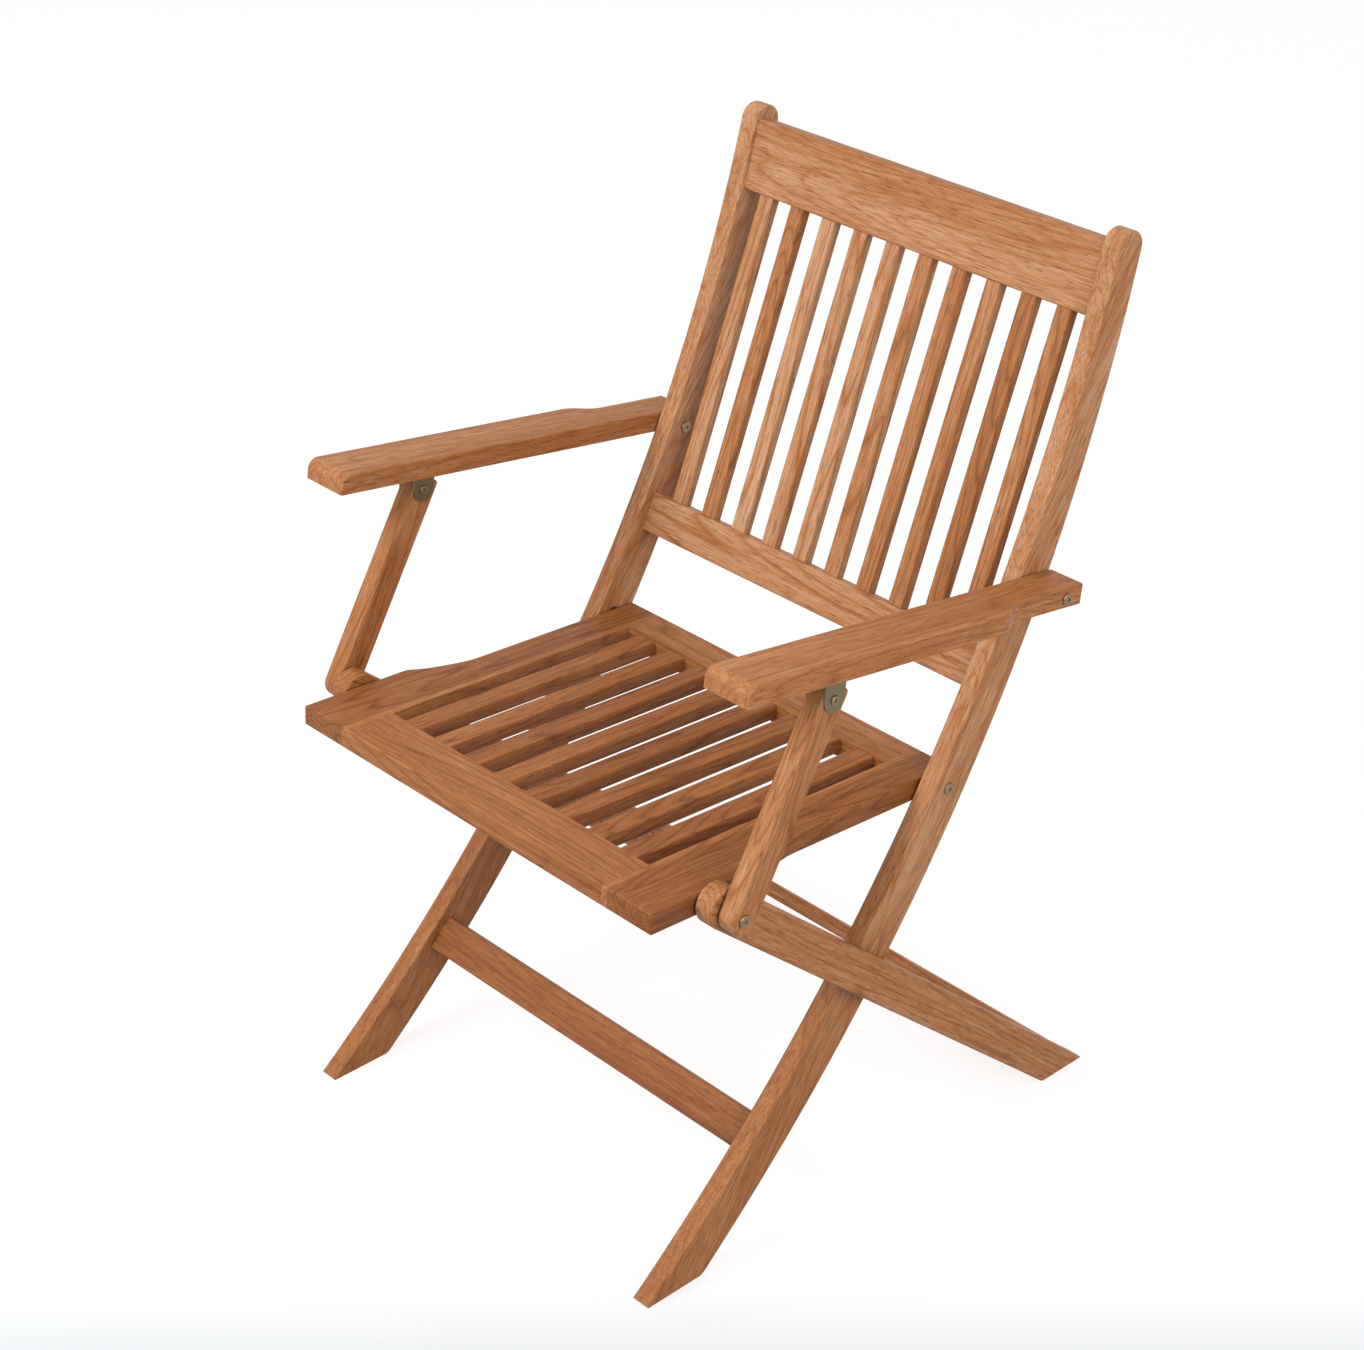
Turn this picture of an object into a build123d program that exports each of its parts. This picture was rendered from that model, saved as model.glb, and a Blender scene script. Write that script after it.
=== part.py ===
from build123d import *
import math
import os

# Folding garden armchair in oiled hardwood.
# All sizes in mm. +X is the sitter's left, the chair faces -Y, +Z is up, the floor is z = 0.
# Side-view points are (y, z) and are drawn from a datum DATUM_Y ahead of the footprint's centre.

DATUM_Y = 33.395

# Layers across the chair, measured from the middle plane
POST_IN, POST_OUT = 224.0, 244.0
LEG_IN, LEG_OUT = 246.0, 266.0
STRUT_IN, STRUT_OUT = 268.0, 288.0
ARM_IN, ARM_OUT, ARM_REAR_OUT = 245.6, 299.6, 285.7

# Pivots: seat front, seat rear, arm rear. The arm front pivot closes an exact parallelogram.
SEAT_FRONT_PIVOT = (-197.1, 409.4)
SEAT_REAR_PIVOT = (108.6, 392.9)
ARM_REAR_PIVOT = (212.5, 570.4)
ARM_FRONT_PIVOT = (
    ARM_REAR_PIVOT[0] + SEAT_FRONT_PIVOT[0] - SEAT_REAR_PIVOT[0],
    ARM_REAR_PIVOT[1] + SEAT_FRONT_PIVOT[1] - SEAT_REAR_PIVOT[1],
)

# Curved posts: three points on the front edge and on the rear edge
POST_FRONT_EDGE = ((-276.0, 0.0), (117.0, 443.0), (311.5, 886.0))
POST_REAR_EDGE = ((-204.0, 0.0), (166.5, 443.0), (345.5, 886.0))
POST_TOP_RADIUS = 16.0
POST_HEEL_CHAMFER = 4.0
POST_TOE = 3.0
FOOT_SPARE = 30.0
POST_STATIONS = 9

# Boards between the posts: face centre (y, z), lean from vertical, width, length either side
BOARD_THICKNESS = 20.0
TOP_RAIL = ((303.2, 841.0), 16.0, 72.0)
LOWER_RAIL = ((160.0, 493.0), 26.5, 40.0)
FRONT_STRETCHER = ((-132.5, 114.4), 43.0, 36.5)

# Back slats
BACK_SLAT_COUNT = 10
BACK_SLAT_PITCH = 43.2
BACK_SLAT_WIDTH = 18.0
BACK_SLAT_THICKNESS = 12.0
BACK_SLAT_SETBACK = (5.0, 1.5)

# Seat, drawn flat and then tipped back about its front top edge
SEAT_FRONT_TOP = (-263.7, 424.7)
SEAT_SLOPE = 3.84
SEAT_LENGTH = 399.0
SEAT_THICKNESS = 21.0
SEAT_OPENING = (55.0, 356.5)
SEAT_INNER = 180.0
SEAT_REAR_OUT = 222.0
SEAT_SLAT_COUNT = 8
SEAT_SLAT_PITCH = 43.4
SEAT_SLAT_WIDTH = 22.8
SEAT_SLAT_THICKNESS = 15.0
SEAT_SLAT_RECESS = 1.0

# Rear legs, drawn along the leg from the seat front pivot
LEG_SLOPE = -41.14
LEG_WIDTH = 39.5
LEG_LIFT = 1.2
REAR_STRETCHER_ALONG = (572.0, 607.0)
REAR_STRETCHER_ABOVE = (6.0, 21.0)

# Arms, drawn from the front lower edge
ARM_FRONT_LOW = (-205.8, 626.0)
ARM_SLOPE = -8.75
ARM_LENGTH = 443.5
ARM_THICKNESS = 20.0
ARM_STEP = (317.0, 358.0)
ARM_NOSE_RADIUS = 11.0

# Arm supports and their brackets
STRUT_FRONT = 12.5
STRUT_REAR = 17.0
STRUT_TOP = 12.0
STRUT_TOP_RADIUS = 4.0
PLATE = 1.4
EAR_WIDTH = 24.0

# Hardware
BOLT_R = 3.0
RIVET_R = 2.5
RUNNING = 0.05
HEAD_R = 6.2
HEAD_DOME = 2.3
FLUSH_DOME = 1.7
WASHER_R = 8.0

EDGE = 2.0
STRUT_EDGE = 3.0


def at(point):
    """Side-view point moved from the drawing datum to the footprint's centre."""
    return (point[0] - DATUM_Y, point[1])


def along(point, degrees, distance, offset=0.0):
    """Point at a distance along a direction, and offset square to it."""
    a = math.radians(degrees)
    return (
        point[0] + distance * math.cos(a) - offset * math.sin(a),
        point[1] + distance * math.sin(a) + offset * math.cos(a),
    )


def plate(face, x0, x1):
    """Extrudes a side-view face between two distances from the middle plane."""
    return extrude(Plane.YZ.offset(x0) * face, amount=x1 - x0)


def polygon(points):
    return make_face(Polyline(*points, close=True))


def rod(point, radius, x0, x1):
    """Round bar along X through a side-view point."""
    y, z = at(point)
    turned = Plane(origin=(x0, y, z), z_dir=(1, 0, 0))
    return extrude(turned * Circle(radius), amount=x1 - x0)


def dome(point, radius, height, x0, side):
    """Shallow rounded bolt head that grows from x0 towards side."""
    y, z = at(point)
    turned = Plane(origin=(x0, y, z), z_dir=(side, 0, 0))
    head = extrude(turned * Circle(radius), amount=height)
    rim = head.edges().filter_by(GeomType.CIRCLE).sort_by(Axis.X)
    head = fillet(rim[-1 if side > 0 else 0], height * 0.7)
    socket = extrude(turned.offset(height - 0.8) * RegularPolygon(2.1, 6), amount=1.0)
    return head - socket


def long_edges(solid, x0, x1):
    """Edges that lie in the two outer faces of a side plate."""
    return solid.edges().filter_by_position(Axis.X, x0 - 0.01, x0 + 0.01) + solid.edges().filter_by_position(
        Axis.X, x1 - 0.01, x1 + 0.01
    )


def below_floor():
    """Everything under z = 0, to saw the feet level."""
    return Pos(0, 0, -100) * Box(2000, 2000, 200)


def mirrored(solid):
    return mirror(solid, about=Plane.YZ)


def arc_through_floor(points):
    """Even curve through three side-view points, carried on below the floor so that it can be sawn."""
    low, middle, high = [at(p) for p in points]
    arc = ThreePointArc(low, middle, high)
    centre, radius = arc.arc_center, arc.radius
    start = centre.X + math.sqrt(radius**2 - (FOOT_SPARE + centre.Y) ** 2)
    whole = ThreePointArc((start, -FOOT_SPARE), middle, high)
    stations = [whole @ (i / (POST_STATIONS - 1)) for i in range(POST_STATIONS)]
    return Spline(*stations, tangents=[whole % 0, whole % 1])


def post():
    """Long curved stile from the top of the back to the front foot, sawn level at the floor."""
    front = arc_through_floor(POST_FRONT_EDGE)
    rear = arc_through_floor(POST_REAR_EDGE)
    face = make_face([front, Line(front @ 1, rear @ 1), rear, Line(rear @ 0, front @ 0)])
    face = fillet(face.vertices().filter_by_position(Axis.Y, 880, 890), POST_TOP_RADIUS)
    solid = plate(face, POST_IN, POST_OUT)
    rims = long_edges(solid, POST_IN, POST_OUT)
    solid = fillet(rims.filter_by(lambda e: e.center().Z > 1 - FOOT_SPARE), EDGE)
    solid -= below_floor()
    heel, lift = at(POST_REAR_EDGE[0])[0], POST_HEEL_CHAMFER
    wedge = polygon([(heel - lift, -1), (heel - lift, 0), (heel + 4 * lift, 2.2 * lift), (heel + 4 * lift, -1)])
    solid -= plate(wedge, POST_IN - 1, POST_OUT + 1)
    toe = at(POST_FRONT_EDGE[0])[0]
    nose = polygon([(toe - 5, -1), (toe + POST_TOE, -1), (toe + POST_TOE, 0), (toe + 1, 3.5), (toe - 5, 3.5)])
    solid -= plate(nose, POST_IN - 1, POST_OUT + 1)
    solid -= rod(SEAT_REAR_PIVOT, BOLT_R, POST_IN - 1, POST_OUT + 1)
    solid -= rod(ARM_REAR_PIVOT, BOLT_R, POST_IN - 1, POST_OUT + 1)
    return solid


def cross_board(spec):
    """Board between the posts: its front face is centred on a point and leans back."""
    centre, lean, width = spec
    up = 90.0 - lean
    corners = ((-width / 2, 0), (width / 2, 0), (width / 2, -BOARD_THICKNESS), (-width / 2, -BOARD_THICKNESS))
    points = [along(at(centre), up, distance, offset) for distance, offset in corners]
    solid = plate(polygon(points), -POST_IN, POST_IN)
    return fillet(solid.edges().filter_by(Axis.X), EDGE)


def back_slats():
    """Straight upright slats from the lower rail to the top rail, drawn once and repeated."""
    foot = along(at(LOWER_RAIL[0]), 90 - LOWER_RAIL[1], LOWER_RAIL[2] / 2)
    head = along(at(TOP_RAIL[0]), 90 - TOP_RAIL[1], -TOP_RAIL[2] / 2)
    low, high = BACK_SLAT_SETBACK
    points = [
        along(foot, -LOWER_RAIL[1], low),
        along(head, -TOP_RAIL[1], high),
        along(head, -TOP_RAIL[1], high + BACK_SLAT_THICKNESS),
        along(foot, -LOWER_RAIL[1], low + BACK_SLAT_THICKNESS),
    ]
    slats = []
    for i in range(BACK_SLAT_COUNT):
        x = (i - (BACK_SLAT_COUNT - 1) / 2) * BACK_SLAT_PITCH
        slat = plate(polygon(points), x - BACK_SLAT_WIDTH / 2, x + BACK_SLAT_WIDTH / 2)
        uprights = slat.edges().filter_by(lambda e: abs(e.tangent_at(0.5).Z) > 0.8)
        slats.append(fillet(uprights, EDGE))
    return slats


def seat_place():
    y, z = at(SEAT_FRONT_TOP)
    return Pos(0, y, z) * Rot(-SEAT_SLOPE, 0, 0)


def seat_board(face, thickness=SEAT_THICKNESS):
    """Board drawn from above, (across, back from the front edge), with its top in the seat plane."""
    return extrude(Plane.XY * face, amount=-thickness)


def seat_side_rail():
    """Full width at the front, narrowed on the outside at the rear so that it nests between the posts."""
    outline = [
        Line((SEAT_INNER, 0), (POST_OUT, 0)),
        Line((POST_OUT, 0), (POST_OUT, 118)),
        Spline(
            (POST_OUT, 118),
            (239.0, 131),
            (231.0, 151),
            (223.5, 180),
            (SEAT_REAR_OUT, 200),
            tangents=[(0, 1), (0, 1)],
        ),
        Line((SEAT_REAR_OUT, 200), (SEAT_REAR_OUT, SEAT_LENGTH)),
        Line((SEAT_REAR_OUT, SEAT_LENGTH), (SEAT_INNER, SEAT_LENGTH)),
        Line((SEAT_INNER, SEAT_LENGTH), (SEAT_INNER, 0)),
    ]
    solid = seat_board(make_face(outline))
    outer = solid.edges().filter_by(lambda e: abs(e.tangent_at(0.5).Z) < 0.1 and e.center().X > SEAT_INNER + 1)
    solid = seat_place() * fillet(outer, EDGE)
    solid -= rod(SEAT_FRONT_PIVOT, BOLT_R, 214.0, POST_OUT + 1)
    solid -= rod(SEAT_REAR_PIVOT, BOLT_R + RUNNING, 194.0, POST_OUT)
    return solid


def seat_cross_rail(low, high, front):
    """Front or rear rail between the side rails; its outer long edges are eased."""
    solid = seat_board(polygon([(-SEAT_INNER, low), (SEAT_INNER, low), (SEAT_INNER, high), (-SEAT_INNER, high)]))
    edges = solid.edges().filter_by(Axis.X).sort_by(Axis.Y)
    return seat_place() * fillet(edges[:2] if front else edges[-2:], EDGE)


def seat_slats():
    slats = []
    for i in range(SEAT_SLAT_COUNT):
        x = (i - (SEAT_SLAT_COUNT - 1) / 2) * SEAT_SLAT_PITCH
        half = SEAT_SLAT_WIDTH / 2
        corners = [(x - half, SEAT_OPENING[0]), (x + half, SEAT_OPENING[0])]
        corners += [(x + half, SEAT_OPENING[1]), (x - half, SEAT_OPENING[1])]
        slat = Pos(0, 0, -SEAT_SLAT_RECESS) * seat_board(polygon(corners), SEAT_SLAT_THICKNESS)
        slats.append(seat_place() * fillet(slat.edges().filter_by(Axis.Y), 1.5))
    return slats


def rear_leg():
    """Straight leg from the seat front pivot to the rear foot, cut level with the floor."""
    pivot = at(SEAT_FRONT_PIVOT)
    far = 720.0
    half = LEG_WIDTH / 2
    start = along(pivot, LEG_SLOPE, 0, LEG_LIFT)
    bar = polygon([along(start, LEG_SLOPE, d, o) for d, o in ((0, -half), (far, -half), (far, half), (0, half))])
    face = bar + Pos(*start) * Circle(half)
    solid = plate(face, LEG_IN, LEG_OUT)
    solid = fillet(long_edges(solid, LEG_IN, LEG_OUT), EDGE) - below_floor()
    return solid - rod(SEAT_FRONT_PIVOT, BOLT_R + RUNNING, LEG_IN - 1, LEG_OUT + 1)


def rear_stretcher():
    pivot = at(SEAT_FRONT_PIVOT)
    low, high = REAR_STRETCHER_ABOVE
    near, far = REAR_STRETCHER_ALONG
    points = [along(pivot, LEG_SLOPE, d, o) for d, o in ((near, low), (far, low), (far, high), (near, high))]
    solid = plate(polygon(points), -LEG_IN, LEG_IN)
    return fillet(solid.edges().filter_by(Axis.X), 1.5)


def eased_arm_edge(edge):
    """Top rim, the two curved edges of the nose and the two upright corners below it."""
    mid = edge.center()
    if edge.geom_type == GeomType.LINE and abs(edge.tangent_at(0.5).X) > 0.9 and mid.Y < ARM_NOSE_RADIUS + 1:
        return False
    return mid.Z > ARM_THICKNESS - 0.01 or mid.Y < ARM_NOSE_RADIUS and mid.Z > 0.01


def arm():
    """Flat arm with a rounded nose, stepped in on the outside near the post."""
    start, end = ARM_STEP
    outline = [
        Line((ARM_IN, 0), (ARM_OUT, 0)),
        Line((ARM_OUT, 0), (ARM_OUT, start)),
        Spline((ARM_OUT, start), (ARM_REAR_OUT, end), tangents=[(0, 1), (0, 1)]),
        Line((ARM_REAR_OUT, end), (ARM_REAR_OUT, ARM_LENGTH)),
        Line((ARM_REAR_OUT, ARM_LENGTH), (ARM_IN, ARM_LENGTH)),
        Line((ARM_IN, ARM_LENGTH), (ARM_IN, 0)),
    ]
    face = make_face(outline)
    face = fillet(face.vertices().filter_by(lambda v: v.Y > ARM_LENGTH - 1), 2.0)
    solid = extrude(Plane.XY * face, amount=ARM_THICKNESS)
    nose = solid.edges().filter_by(Axis.X).filter_by_position(Axis.Y, -0.1, 0.1).sort_by(Axis.Z)[-1]
    solid = fillet(nose, ARM_NOSE_RADIUS)
    rim = solid.edges().filter_by(eased_arm_edge)
    y, z = at(ARM_FRONT_LOW)
    solid = Pos(0, y, z) * Rot(ARM_SLOPE, 0, 0) * fillet(rim, EDGE)
    return solid - rod(ARM_REAR_PIVOT, BOLT_R + RUNNING, ARM_IN - 1, ARM_REAR_OUT + 1)


def strut_slope():
    dy = ARM_FRONT_PIVOT[0] - SEAT_FRONT_PIVOT[0]
    dz = ARM_FRONT_PIVOT[1] - SEAT_FRONT_PIVOT[1]
    return math.degrees(math.atan2(dz, dy)), math.hypot(dy, dz)


def arm_strut():
    """Arm support: round at the seat end, flat with small corners under the arm."""
    slope, length = strut_slope()
    low = at(SEAT_FRONT_PIVOT)
    top = length + STRUT_TOP
    corners = ((0, -STRUT_REAR), (top, -STRUT_REAR), (top, STRUT_FRONT), (0, STRUT_FRONT))
    bar = polygon([along(low, slope, d, o) for d, o in corners])
    bar = fillet(bar.vertices().sort_by(Axis.Y)[-2:], STRUT_TOP_RADIUS)
    heel = along(low, slope, 0, (STRUT_FRONT - STRUT_REAR) / 2)
    face = bar + Pos(*heel) * Circle((STRUT_FRONT + STRUT_REAR) / 2)
    solid = plate(face, STRUT_IN, STRUT_OUT)
    solid = fillet(long_edges(solid, STRUT_IN, STRUT_OUT), STRUT_EDGE)
    solid -= rod(SEAT_FRONT_PIVOT, BOLT_R + RUNNING, STRUT_IN - 1, STRUT_OUT + 1)
    return solid - rod(ARM_FRONT_PIVOT, RIVET_R + RUNNING, STRUT_IN - 1, STRUT_OUT + 1)


def arm_bracket():
    """U-shaped plate bracket under the arm: a web against the wood and two round-ended ears."""
    pivot = at(ARM_FRONT_PIVOT)
    front_low = at(ARM_FRONT_LOW)
    a = math.radians(ARM_SLOPE)
    dy, dz = pivot[0] - front_low[0], pivot[1] - front_low[1]
    drop = -(-dy * math.sin(a) + dz * math.cos(a))
    half = EAR_WIDTH / 2
    up = 90 + ARM_SLOPE
    ear = polygon([along(pivot, up, d, o) for d, o in ((0, -half), (drop, -half), (drop, half), (0, half))])
    ear += Pos(*pivot) * Circle(half)
    web = polygon(
        [along(pivot, up, d, o) for d, o in ((drop - PLATE, -half), (drop, -half), (drop, half), (drop - PLATE, half))]
    )
    inner, outer = STRUT_IN - 0.1, STRUT_OUT + 0.1
    solid = plate(ear, inner - PLATE, inner)
    solid += plate(ear, outer, outer + PLATE)
    solid += plate(web, inner - PLATE, outer + PLATE)
    return solid - rod(ARM_FRONT_PIVOT, RIVET_R, inner - PLATE - 1, outer + PLATE + 1)


def washer(point, x0, x1, hole=BOLT_R):
    return rod(point, WASHER_R, x0, x1) - rod(point, hole, x0 - 1, x1 + 1)


def seat_front_bolt():
    """Through the arm support, the leg and into the seat rail, with the two washers between them."""
    head = STRUT_OUT + RUNNING
    solid = rod(SEAT_FRONT_PIVOT, BOLT_R, 214.0, head)
    solid += dome(SEAT_FRONT_PIVOT, HEAD_R, HEAD_DOME, head, 1)
    solid += rod(SEAT_FRONT_PIVOT, WASHER_R, POST_OUT, LEG_IN - RUNNING)
    solid += rod(SEAT_FRONT_PIVOT, WASHER_R, LEG_OUT + RUNNING, STRUT_IN - RUNNING)
    return solid


def seat_rear_bolt():
    """Through the post into the seat rail, with the spacer between them."""
    solid = rod(SEAT_REAR_PIVOT, BOLT_R, 200.0, POST_OUT)
    solid += dome(SEAT_REAR_PIVOT, HEAD_R, FLUSH_DOME, POST_OUT, 1)
    solid += rod(SEAT_REAR_PIVOT, WASHER_R, SEAT_REAR_OUT + RUNNING, POST_IN)
    return solid


def arm_rear_bolt():
    """Through the arm and the post, with a cap nut on the inner face of the post."""
    head = ARM_REAR_OUT + RUNNING
    solid = rod(ARM_REAR_PIVOT, BOLT_R, POST_IN, head)
    solid += dome(ARM_REAR_PIVOT, HEAD_R, HEAD_DOME, head, 1)
    solid += dome(ARM_REAR_PIVOT, HEAD_R, FLUSH_DOME, POST_IN, -1)
    solid += rod(ARM_REAR_PIVOT, WASHER_R, POST_OUT, ARM_IN - RUNNING)
    return solid


def bracket_rivet():
    inner, outer = STRUT_IN - 0.1 - PLATE, STRUT_OUT + 0.1 + PLATE
    solid = rod(ARM_FRONT_PIVOT, RIVET_R, inner, outer)
    solid += dome(ARM_FRONT_PIVOT, 4.6, 1.6, outer, 1)
    solid += dome(ARM_FRONT_PIVOT, 4.6, 1.2, inner, -1)
    return solid


def both_sides(name, solid):
    """Left and right are the sitter's, so the part drawn on +X is the left one."""
    return {name + "_left": solid, name + "_right": mirrored(solid)}


def nodes():
    parts = {
        "top_rail": cross_board(TOP_RAIL),
        "lower_back_rail": cross_board(LOWER_RAIL),
        "back_slats": Compound(children=[s.solid() for s in back_slats()]),
        "front_stretcher": cross_board(FRONT_STRETCHER),
        "seat_front_rail": seat_cross_rail(0, SEAT_OPENING[0], True),
        "seat_rear_rail": seat_cross_rail(SEAT_OPENING[1], SEAT_LENGTH, False),
        "seat_slats": Compound(children=[s.solid() for s in seat_slats()]),
        "rear_stretcher": rear_stretcher(),
    }
    parts.update(both_sides("post", post()))
    parts.update(both_sides("seat_side_rail", seat_side_rail()))
    parts.update(both_sides("rear_leg", rear_leg()))
    parts.update(both_sides("arm", arm()))
    parts.update(both_sides("arm_strut", arm_strut()))
    parts.update(both_sides("arm_bracket", arm_bracket()))
    parts.update(both_sides("bracket_rivet", bracket_rivet()))
    parts.update(both_sides("seat_front_bolt", seat_front_bolt()))
    parts.update(both_sides("seat_rear_bolt", seat_rear_bolt()))
    parts.update(both_sides("arm_rear_bolt", arm_rear_bolt()))
    return parts


def main():
    os.makedirs("parts", exist_ok=True)
    for name, solid in nodes().items():
        solid.label = name
        export_step(solid, os.path.join("parts", name + ".step"))


main()
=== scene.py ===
import math

import bpy
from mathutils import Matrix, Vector


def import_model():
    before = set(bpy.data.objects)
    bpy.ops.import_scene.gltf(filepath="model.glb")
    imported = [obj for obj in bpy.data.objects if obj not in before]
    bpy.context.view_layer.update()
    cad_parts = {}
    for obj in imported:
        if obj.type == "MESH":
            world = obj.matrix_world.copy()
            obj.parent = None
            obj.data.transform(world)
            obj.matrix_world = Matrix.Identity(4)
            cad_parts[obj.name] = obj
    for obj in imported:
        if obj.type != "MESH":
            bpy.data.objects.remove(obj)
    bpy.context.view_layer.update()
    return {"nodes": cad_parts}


# How far the frame's origin lies behind the point that the side view is measured from, in metres
DATUM_Y = 0.0334

# Camera, in metres and degrees in the part's frame
CAMERA_PLACE = (1.8711, -1.7325 - DATUM_Y, 1.9052)
CAMERA_AZIMUTH = 46.650
CAMERA_ELEVATION = 27.602
CAMERA_LENS = 81.742
CAMERA_SHIFT = (-0.02, -0.08)

# Directions of the members in side view, degrees above the -Y to +Y line
SEAT_SLOPE = -3.84
LEG_SLOPE = -41.14
ARM_SLOPE = -8.75
STRUT_SLOPE = 59.77
BACK_SLAT_SLOPE = 67.9
POST_SLOPE = 56.5
TOP_RAIL_SLOPE = 74.0
LOWER_RAIL_SLOPE = 63.5
STRETCHER_SLOPE = 47.0

# Slats in one node: their spacing across the chair, in metres
BACK_PITCH = 0.0432
SEAT_PITCH = 0.0434

# Pale edges of the seat's side rails and of the lower back rail, in metres
SEAT_INNER = 0.180
SIDE_SAP_WIDTH = 0.0075
LOWER_RAIL_TOP = (0.1689, 0.5109)
LOWER_SAP_WIDTH = 0.010

# Brightness of the studio all round the chair
LIGHT_ABOVE = 1.0
LIGHT_BELOW = 0.42
WARM = (1.0, 0.97, 0.93)
MILD = (1.0, 0.98, 0.95)

# The floor's half width, and where it gets greyer with painted shade, counted from the origin to the
# viewer
FLOOR_HALF = 30.0
GREY_FROM, GREY_TO = 0.33, 0.44
GREY_GLOW = 0.72

# Wood tones as linear colours, from the dark latewood to the pale sapwood
WOOD_DARK = (0.138, 0.040, 0.011)
WOOD_MAIN = (0.295, 0.113, 0.037)
WOOD_LIGHT = (0.470, 0.290, 0.170)
PORE = (0.100, 0.033, 0.012, 1.0)

BOLT_METAL = (0.25, 0.175, 0.10, 1.0)
BRACKET_METAL = (0.185, 0.148, 0.092, 1.0)


def new_material(name):
    material = bpy.data.materials.new(name)
    material.use_nodes = True
    material.node_tree.nodes.clear()
    return material


class Graph:
    """Short names for building a material's node tree."""

    def __init__(self, material):
        self.tree = material.node_tree

    def node(self, kind, **settings):
        made = self.tree.nodes.new(kind)
        for key, value in settings.items():
            setattr(made, key, value)
        return made

    def join(self, source, target):
        self.tree.links.new(source, target)

    def feed(self, target, value):
        """Links an output to a socket, or sets the socket to a plain value."""
        if isinstance(value, bpy.types.NodeSocket):
            self.join(value, target)
        else:
            target.default_value = value

    def math(self, operation, a, b=0.0):
        made = self.node("ShaderNodeMath", operation=operation)
        for socket, value in zip(made.inputs, (a, b)):
            self.feed(socket, value)
        return made.outputs[0]

    def mapped(self, vector, scale=(1, 1, 1), location=(0, 0, 0), rotation=(0, 0, 0)):
        """The vector scaled, turned and then moved."""
        made = self.node("ShaderNodeMapping")
        self.join(vector, made.inputs["Vector"])
        made.inputs["Scale"].default_value = scale
        made.inputs["Location"].default_value = location
        made.inputs["Rotation"].default_value = rotation
        return made.outputs[0]

    def noise(self, vector, scale, detail, roughness, distortion=0.0):
        made = self.node("ShaderNodeTexNoise")
        self.join(vector, made.inputs["Vector"])
        made.inputs["Scale"].default_value = scale
        made.inputs["Detail"].default_value = detail
        made.inputs["Roughness"].default_value = roughness
        made.inputs["Distortion"].default_value = distortion
        return made.outputs["Fac"]

    def ramp(self, value, stops):
        made = self.node("ShaderNodeValToRGB")
        self.feed(made.inputs[0], value)
        elements = made.color_ramp.elements
        while len(elements) < len(stops):
            elements.new(0.5)
        for element, (place, colour) in zip(elements, stops):
            element.position = place
            element.color = (*colour, 1.0)
        return made.outputs[0]

    def between(self, value, low, high, out_low, out_high):
        """Turns the range low to high into out_low to out_high, and holds it there outside."""
        made = self.node("ShaderNodeMapRange")
        self.join(value, made.inputs["Value"])
        made.inputs["From Min"].default_value = low
        made.inputs["From Max"].default_value = high
        made.inputs["To Min"].default_value = out_low
        made.inputs["To Max"].default_value = out_high
        return made.outputs[0]

    def apart(self, vector):
        made = self.node("ShaderNodeSeparateXYZ")
        self.join(vector, made.inputs[0])
        return made.outputs[0], made.outputs[1], made.outputs[2]

    def together(self, *parts):
        made = self.node("ShaderNodeCombineXYZ")
        for socket, part in zip(made.inputs, parts):
            self.feed(socket, part)
        return made.outputs[0]

    def blend(self, share, a, b):
        made = self.node("ShaderNodeMix", data_type="RGBA")
        first, second = [socket for socket in made.inputs if socket.type == "RGBA"]
        self.feed(made.inputs["Factor"], share)
        self.feed(first, a)
        self.feed(second, b)
        return next(socket for socket in made.outputs if socket.type == "RGBA")

    def finish(self, shader):
        out = self.node("ShaderNodeOutputMaterial")
        self.join(shader.outputs[0], out.inputs[0])


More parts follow.
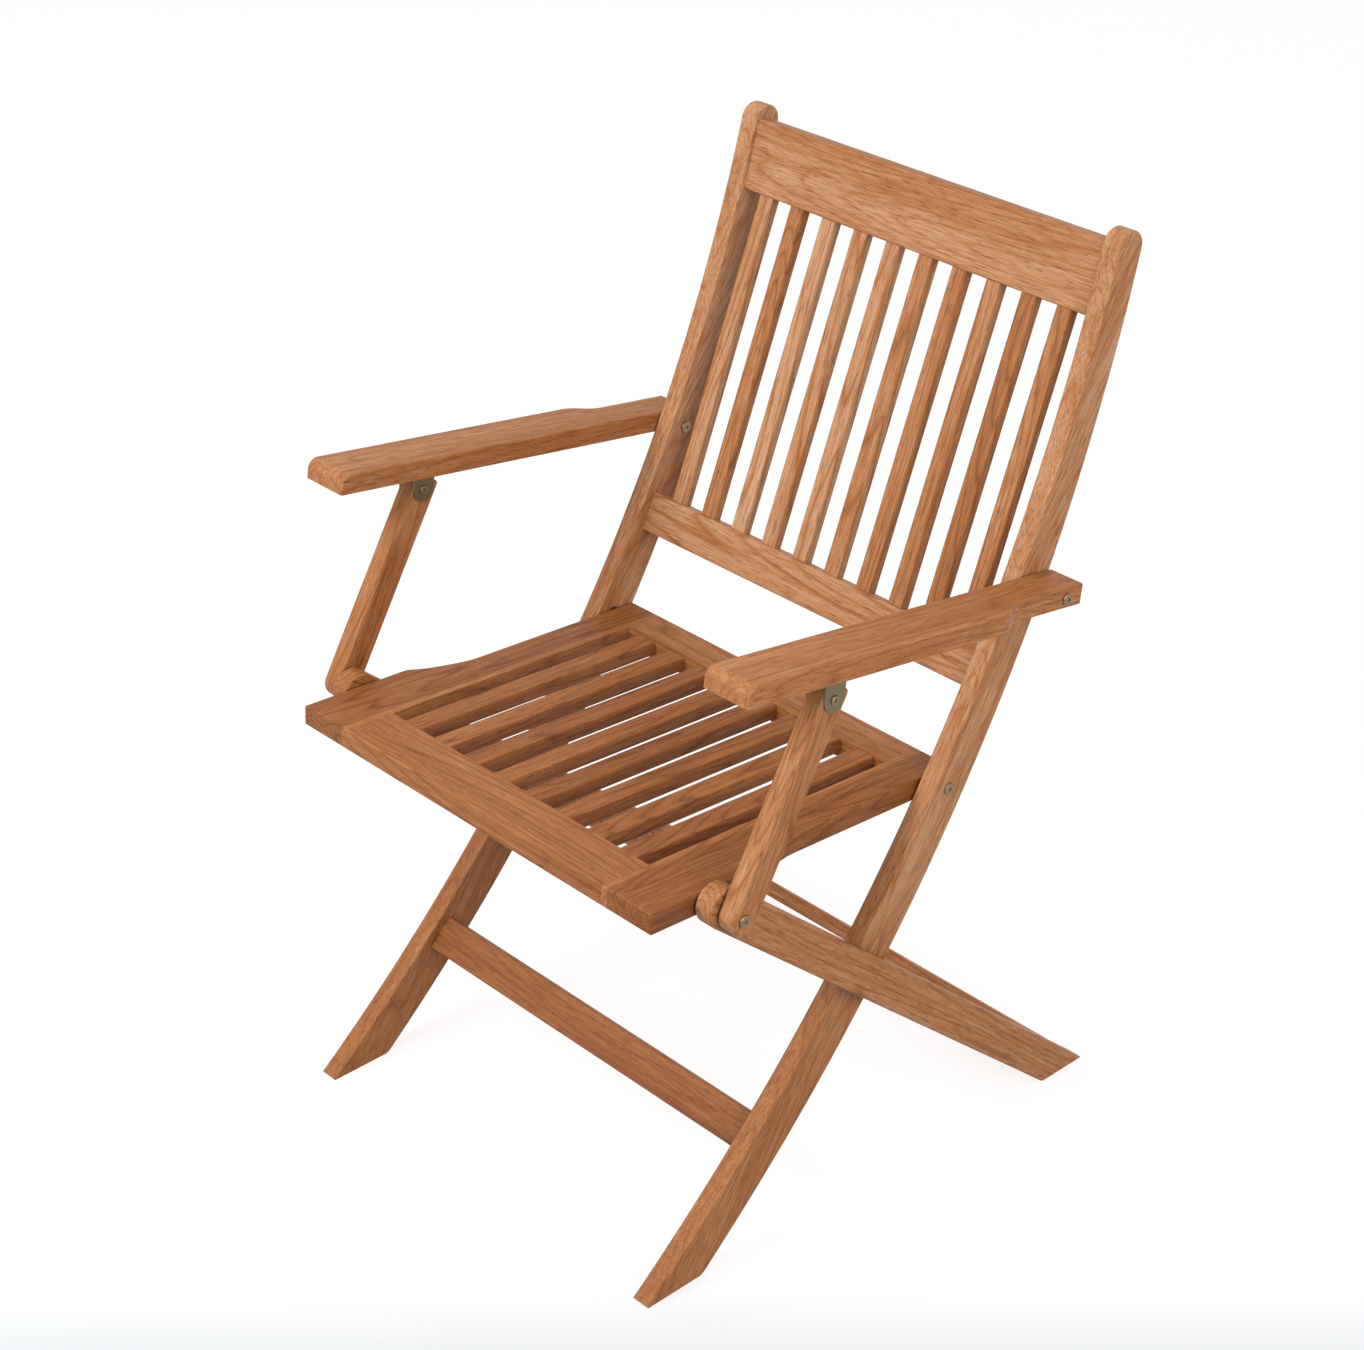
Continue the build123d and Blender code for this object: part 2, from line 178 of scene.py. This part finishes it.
def wood(name, slope, seed, along_x=False, tone=0.0, climb=0.0, flame=1.0, pitch=None, sap=None):
    """Oiled hardwood with its grain along one member.

    slope: the member's direction in side view. along_x: it lies across the chair instead,
    and slope is the way its width points. tone: lighter or darker than the rest.
    climb: how much lighter each metre of its length gets. flame: strength of the
    growth-ring figure. pitch: spacing across the chair of the slats in one node, so that
    each is its own board. sap: (which way, where, how wide), a pale edge of the board,
    which way being 1 across it and 2 through it.
    """
    material = new_material(name)
    g = Graph(material)
    place = g.node("ShaderNodeTexCoord").outputs["Object"]
    x, y, z = g.apart(g.mapped(place, rotation=(math.radians(-slope), 0, 0)))
    axes = (x, y, z) if along_x else (y, x, z)
    figure = g.math("ADD", g.math("MULTIPLY", axes[0], climb), 0.5 + tone)
    coords = g.together(*axes)
    if pitch:
        number = g.math("FLOOR", g.math("DIVIDE", g.math("ADD", x, pitch * 50), pitch))
        dice = g.node("ShaderNodeTexWhiteNoise", noise_dimensions="1D")
        g.join(g.math("ADD", number, seed * 7.3), dice.inputs["W"])
        chance = dice.outputs["Value"]
        own = g.math("MULTIPLY", chance, 3.0)
        coords = g.together(g.math("ADD", axes[0], own), axes[1], g.math("ADD", axes[2], own))
        figure = g.math("ADD", figure, g.between(chance, 0, 1, -0.16, 0.16))

    offset = (seed * 1.37, seed * 0.71, seed * 0.43)

    def stretched(along, wide, detail=2.0, roughness=0.5, distortion=0.0):
        """Noise with that many cells per metre along the member and across it."""
        grown = g.mapped(coords, scale=(along, wide, wide), location=offset)
        return g.noise(grown, 1.0, detail, roughness, distortion)

    def vary(value, amount):
        return g.math("ADD", figure, g.between(value, 0.3, 0.7, -amount, amount))

    # Growth rings cut lengthwise: a slow field sliced into thin shells gives the flame figure
    field = stretched(1.6, 16, 1.0, 0.4, 0.25)
    rings = g.math("MULTIPLY", g.math("PINGPONG", g.math("MULTIPLY", field, 20.0), 0.5), 2.0)
    rings = g.math("POWER", rings, 5.0)
    figure = g.math("ADD", figure, g.between(rings, 0, 1, 0.05 * flame, -0.26 * flame))
    figure = vary(stretched(1.1, 8), 0.13)
    figure = vary(stretched(2.5, 60, 3.0), 0.09)
    figure = vary(stretched(7, 260, 3.0, 0.6), 0.06)
    fibre = stretched(32, 700, 2.0, 0.7)
    figure = vary(fibre, 0.14)
    if sap:
        way, where, width = sap
        gap = g.math("ABSOLUTE", g.math("SUBTRACT", axes[way], where))
        figure = g.math("ADD", figure, g.between(gap, width * 0.8, width * 1.15, 0.24, 0.0))
    colour = g.ramp(figure, ((0.0, WOOD_DARK), (0.5, WOOD_MAIN), (1.0, WOOD_LIGHT)))
    pores = stretched(60, 880, 1.0)
    colour = g.blend(g.between(pores, 0.33, 0.42, 0.55, 0.0), colour, PORE)

    shader = g.node("ShaderNodeBsdfPrincipled")
    g.join(colour, shader.inputs["Base Color"])
    g.join(g.between(fibre, 0.3, 0.7, 0.52, 0.40), shader.inputs["Roughness"])
    shader.inputs["Specular IOR Level"].default_value = 0.14
    bump = g.node("ShaderNodeBump")
    bump.inputs["Strength"].default_value = 0.15
    bump.inputs["Distance"].default_value = 0.0004
    g.join(fibre, bump.inputs["Height"])
    g.join(bump.outputs[0], shader.inputs["Normal"])
    g.finish(shader)
    return material


def metal(name, colour, roughness):
    material = new_material(name)
    g = Graph(material)
    shader = g.node("ShaderNodeBsdfPrincipled")
    shader.inputs["Metallic"].default_value = 1.0
    shader.inputs["Base Color"].default_value = colour
    place = g.node("ShaderNodeTexCoord").outputs["Object"]
    wear = g.noise(place, 420.0, 3.0, 0.6)
    g.join(g.between(wear, 0.3, 0.7, roughness + 0.06, roughness - 0.06), shader.inputs["Roughness"])
    g.finish(shader)
    return material


def lit_paper(name):
    """White paper that glows, so that shadows on it are faint.

    It is a little greyer in front of the chair, in the part's own frame: painted shade on the floor
    towards the viewer.
    """
    material = new_material(name)
    g = Graph(material)
    shader = g.node("ShaderNodeBsdfPrincipled")
    shader.inputs["Base Color"].default_value = (0.16, 0.20, 0.22, 1.0)
    shader.inputs["Roughness"].default_value = 1.0
    shader.inputs["Specular IOR Level"].default_value = 0.0
    shader.inputs["Emission Color"].default_value = (0.84, 0.78, 0.76, 1.0)
    place = g.node("ShaderNodeTexCoord").outputs["Object"]
    x, y, z = g.apart(g.mapped(place, rotation=(0, 0, math.radians(-CAMERA_AZIMUTH))))
    nearer = g.math("MULTIPLY", y, -1.0)
    # Painted shade: the glow drops in front of the chair, towards the viewer.
    glow = g.between(nearer, GREY_FROM, GREY_TO, 1.0, GREY_GLOW)
    g.join(glow, shader.inputs["Emission Strength"])
    g.finish(shader)
    return material


def paint(node, material):
    node.data.materials.clear()
    node.data.materials.append(material)


def across(slope, y, z):
    """Where a side-view point lies up a board of that slope, as its wood sees it."""
    a = math.radians(slope)
    return (y - DATUM_Y) * math.cos(a) + z * math.sin(a)


def paint_sides(nodes):
    for side, seed, sign in (("left", 1, 1), ("right", 2, -1)):
        edge = (1, sign * SEAT_INNER, SIDE_SAP_WIDTH)
        woods = {
            # Painted shade: climb makes the posts lighter up their length and darker low down under the
            # seat.
            "post_": wood("post_wood_" + side, POST_SLOPE, seed, tone=-0.08, climb=0.30, flame=0.6),
            "seat_side_rail_": wood("side_rail_wood_" + side, SEAT_SLOPE, seed + 4, tone=-0.28, sap=edge),
            "rear_leg_": wood("leg_wood_" + side, LEG_SLOPE, seed + 8, tone=0.02),
            "arm_": wood("arm_wood_" + side, ARM_SLOPE, seed + 12, tone=-0.05, flame=0.7),
            "arm_strut_": wood("strut_wood_" + side, STRUT_SLOPE, seed + 16, tone=0.02),
        }
        for member, material in woods.items():
            paint(nodes[member + side], material)


def paint_rails(nodes):
    top_edge = (2, across(LOWER_RAIL_SLOPE, *LOWER_RAIL_TOP), LOWER_SAP_WIDTH)
    woods = {
        # Painted light: the top rail's lighter tone stands in for the stronger light on the top of the
        # back.
        "top_rail": wood("top_rail_wood", TOP_RAIL_SLOPE, 21, True, tone=0.16, flame=0.6),
        "lower_back_rail": wood("lower_rail_wood", LOWER_RAIL_SLOPE, 22, True, tone=0.03, sap=top_edge),
        # Painted shade: the front stretcher's darker tone stands in for the shade under the seat.
        "front_stretcher": wood("stretcher_wood", STRETCHER_SLOPE, 23, True, tone=-0.22, flame=0.5),
        "rear_stretcher": wood("rear_stretcher_wood", LEG_SLOPE, 24, True, flame=0.5),
        "seat_front_rail": wood("seat_front_wood", SEAT_SLOPE, 25, True, tone=-0.08),
        "seat_rear_rail": wood("seat_rear_wood", SEAT_SLOPE, 26, True, tone=-0.08),
    }
    for name, material in woods.items():
        paint(nodes[name], material)


def paint_slats(nodes):
    # Painted light: the back slats' lighter tone stands in for the stronger light on the upper back.
    back = wood("back_slat_wood", BACK_SLAT_SLOPE, 27, tone=0.12, pitch=BACK_PITCH)
    seat = wood("seat_slat_wood", SEAT_SLOPE, 28, tone=-0.18, pitch=SEAT_PITCH)
    paint(nodes["back_slats"], back)
    paint(nodes["seat_slats"], seat)


def paint_metal(nodes):
    bolts = metal("bolt_brass", BOLT_METAL, 0.36)
    brackets = metal("bracket_brass", BRACKET_METAL, 0.42)
    for name, node in nodes.items():
        if "bolt" in name or "rivet" in name:
            paint(node, bolts)
        elif "bracket" in name:
            paint(node, brackets)


def make_camera():
    data = bpy.data.cameras.new("camera")
    camera = bpy.data.objects.new("camera", data)
    bpy.context.scene.collection.objects.link(camera)
    a, e = math.radians(CAMERA_AZIMUTH), math.radians(CAMERA_ELEVATION)
    back = Vector((math.sin(a) * math.cos(e), -math.cos(a) * math.cos(e), math.sin(e)))
    camera.location = CAMERA_PLACE
    camera.rotation_mode = "QUATERNION"
    camera.rotation_quaternion = (-back).to_track_quat("-Z", "Y")
    data.sensor_width = 36.0
    data.lens = CAMERA_LENS
    data.shift_x, data.shift_y = CAMERA_SHIFT
    data.clip_start, data.clip_end = 0.05, 100.0
    bpy.context.scene.camera = camera


def make_floor():
    mesh = bpy.data.meshes.new("floor")
    corners = [(x * FLOOR_HALF, y * FLOOR_HALF, 0) for x, y in ((-1, -1), (1, -1), (1, 1), (-1, 1))]
    mesh.from_pydata(corners, [], [(0, 1, 2, 3)])
    floor = bpy.data.objects.new("floor", mesh)
    bpy.context.scene.collection.objects.link(floor)
    floor.data.materials.append(lit_paper("floor_white"))
    # The light from below comes from the world, which is easier to set than the paper's glow
    floor.visible_diffuse = False
    floor.visible_shadow = False


def area_light(name, place, aim, size, power, colour):
    data = bpy.data.lights.new(name, "AREA")
    data.shape = "DISK"
    data.size = size
    data.energy = power
    data.color = colour
    light = bpy.data.objects.new(name, data)
    bpy.context.scene.collection.objects.link(light)
    light.location = place
    light.rotation_mode = "QUATERNION"
    light.rotation_quaternion = (Vector(aim) - Vector(place)).to_track_quat("-Z", "Y")


def make_light():
    world = bpy.data.worlds.new("studio")
    bpy.context.scene.world = world
    world.use_nodes = True
    g = Graph(world)
    x, y, height = g.apart(g.node("ShaderNodeTexCoord").outputs["Generated"])
    background = world.node_tree.nodes["Background"]
    background.inputs["Color"].default_value = (1.0, 1.0, 1.0, 1.0)
    g.join(g.between(height, -0.2, 0.2, LIGHT_BELOW, LIGHT_ABOVE), background.inputs["Strength"])
    area_light("key", (-0.6, -2.3, 2.2), (0, 0, 0.45), 1.5, 68, WARM)
    area_light("fill", (2.2, -0.5, 1.5), (0, 0, 0.6), 1.8, 36, MILD)


def main():
    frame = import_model()
    nodes = frame["nodes"]
    paint_sides(nodes)
    paint_rails(nodes)
    paint_slats(nodes)
    paint_metal(nodes)
    make_floor()
    make_light()
    make_camera()
    bpy.context.scene.view_settings.view_transform = "Standard"


main()
